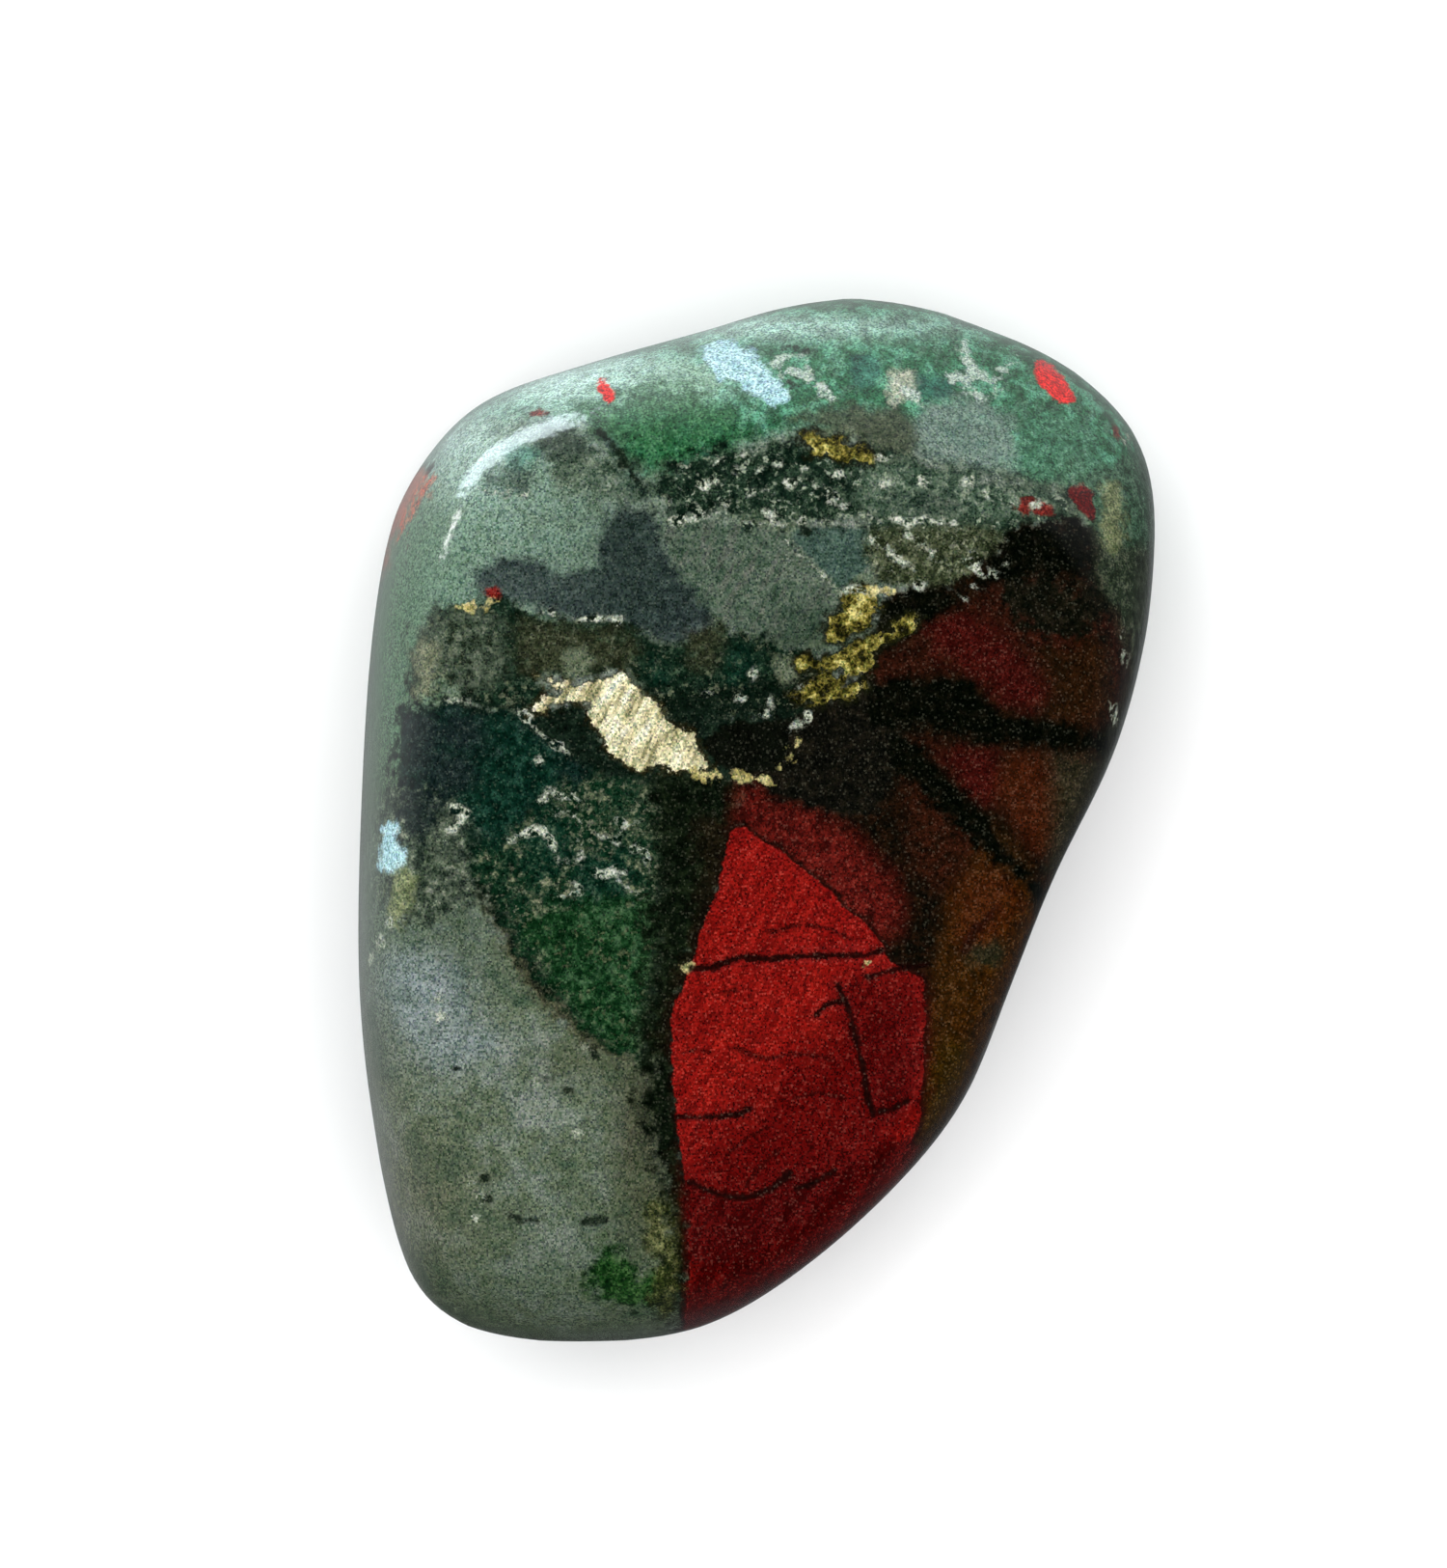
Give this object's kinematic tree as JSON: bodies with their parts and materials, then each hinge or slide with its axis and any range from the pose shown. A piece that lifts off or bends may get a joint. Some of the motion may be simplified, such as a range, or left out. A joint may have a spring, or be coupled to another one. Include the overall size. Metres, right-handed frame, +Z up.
{
  "type": "tumbled bloodstone",
  "caption": "Tumbled and polished bloodstone, a flattish worn wedge of dark green jasper with red, maroon and cream patches, lying on its back.",
  "frame": {"origin": "under the middle of the stone's bounding box, on the surface that it lies on", "axes": "+Z up off that surface, out of the stone's broad face; +Y along its length towards the wide end; +X across it to the right, seen from above"},
  "size_m": [0.026, 0.034, 0.0136],
  "materials": {
    "stone": "polished, dark green jasper with grey-green, red, maroon, black and cream patches"
  },
  "bodies": {
    "root": {"stone": "stone"}
  },
  "joints": []
}
